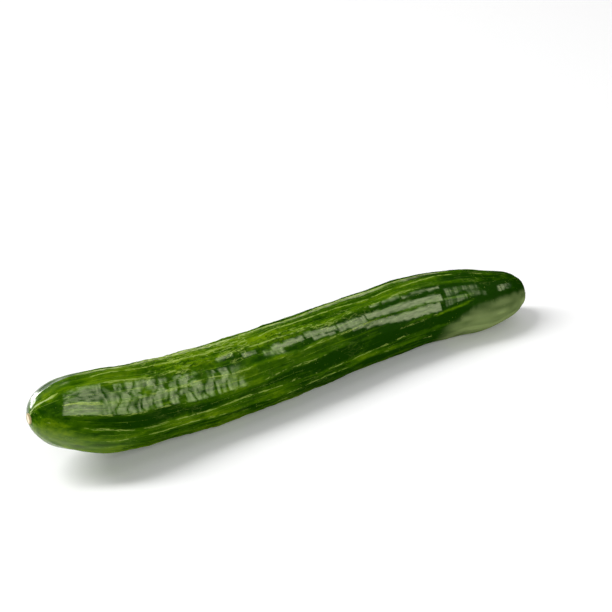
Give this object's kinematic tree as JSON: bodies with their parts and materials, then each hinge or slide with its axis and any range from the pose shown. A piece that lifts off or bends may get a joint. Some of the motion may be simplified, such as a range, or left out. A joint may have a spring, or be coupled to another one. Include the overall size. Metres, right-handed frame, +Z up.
{
  "type": "cucumber",
  "caption": "Whole greenhouse cucumber lying on its side: long ribbed dark green fruit with a blossom scar at one end and a short stem stub at the other.",
  "frame": {"origin": "middle of the bounding box's base, on the surface that the cucumber lies on", "axes": "+X along the cucumber from the blossom end to the stem end, +Z up from the surface, +Y to the side that the middle of the body bends to"},
  "size_m": [0.3384, 0.0626, 0.055],
  "materials": {
    "cucumber_skin": "satin"
  },
  "bodies": {
    "root": {"cucumber": "cucumber_skin"}
  },
  "joints": []
}
